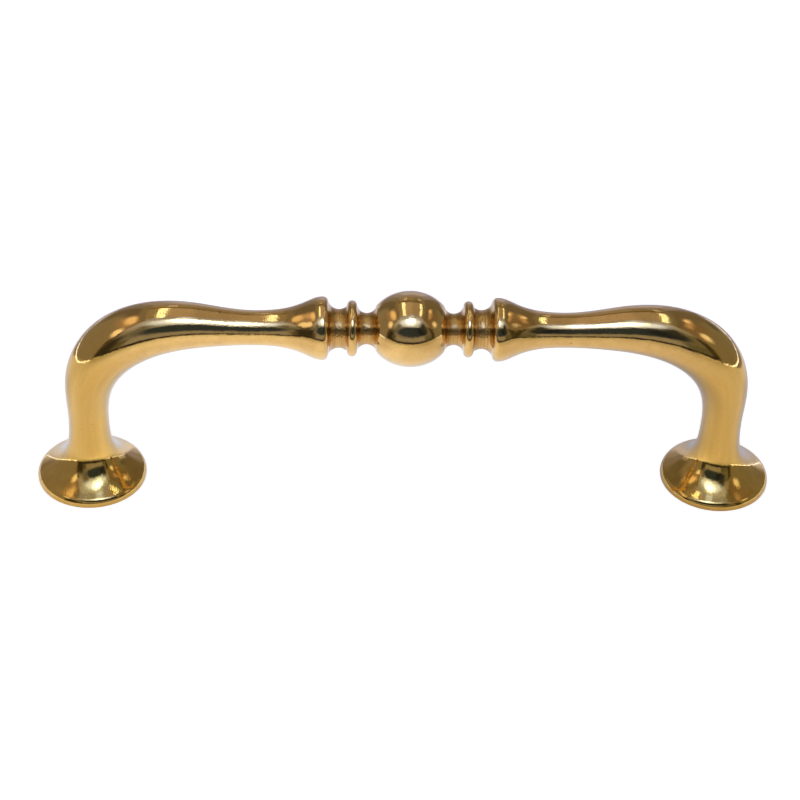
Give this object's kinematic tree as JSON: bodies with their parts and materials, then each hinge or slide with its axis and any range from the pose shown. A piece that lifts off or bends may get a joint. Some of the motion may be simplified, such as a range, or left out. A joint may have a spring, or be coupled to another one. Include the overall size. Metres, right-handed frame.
{
  "type": "cabinet pull handle",
  "caption": "Arched brass cabinet pull handle: a slim round bar with a turned ball, beads and bells at its middle, bent arms, and flared round feet tapped for screws from behind.",
  "frame": {"origin": "midway between the two screw holes, on the mounting plane under the feet", "axes": "+X along the bar, +Z away from the drawer front, +Y across the bar"},
  "size_m": [0.1126, 0.0166, 0.0337],
  "materials": {
    "polished_brass": "polished, duller in the turned coves"
  },
  "bodies": {
    "root": {"handle": "polished_brass"}
  },
  "joints": []
}
